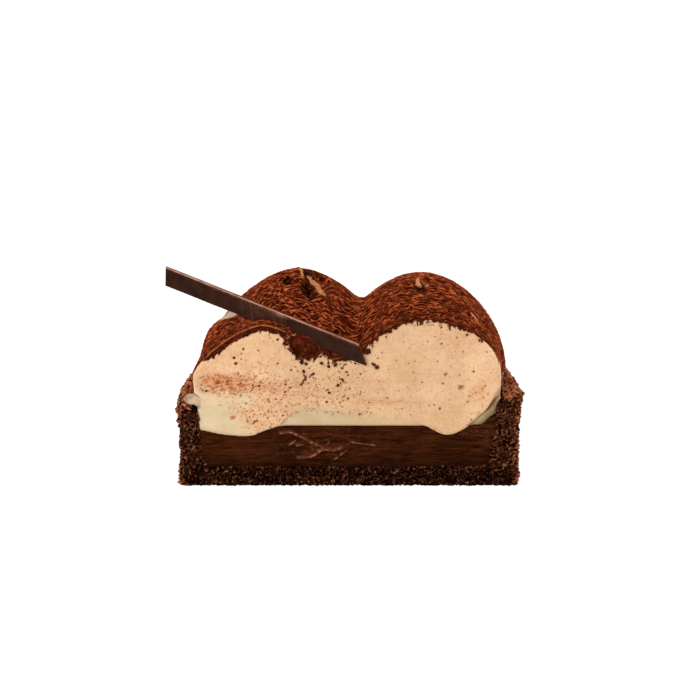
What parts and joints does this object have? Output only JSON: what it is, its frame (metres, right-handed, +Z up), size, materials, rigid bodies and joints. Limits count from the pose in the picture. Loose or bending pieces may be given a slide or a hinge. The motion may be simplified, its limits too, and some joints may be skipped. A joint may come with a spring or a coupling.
{
  "type": "chocolate tartlet half",
  "caption": "Half of a round chocolate tartlet, cut through its middle: crumbly shell, ganache, vanilla cream and cocoa-dusted coffee mousse with a chocolate stick.",
  "frame": {"origin": "a point on the flat underside of the crust, 15 mm behind the cut face and on the tartlet's middle plane", "axes": "+X along the cut face, towards the end the chocolate stick does not stick out of; +Y away from the cut face, into the tartlet; +Z up"},
  "size_m": [0.0715, 0.0357, 0.0472],
  "materials": {
    "crust": "matte, crumbly",
    "ganache": "satin",
    "cream": "satin",
    "mousse": "matte",
    "stick": "satin"
  },
  "bodies": {
    "root": {"crust": "crust", "ganache": "ganache", "cream": "cream", "mousse": "mousse", "stick": "stick"}
  },
  "joints": []
}
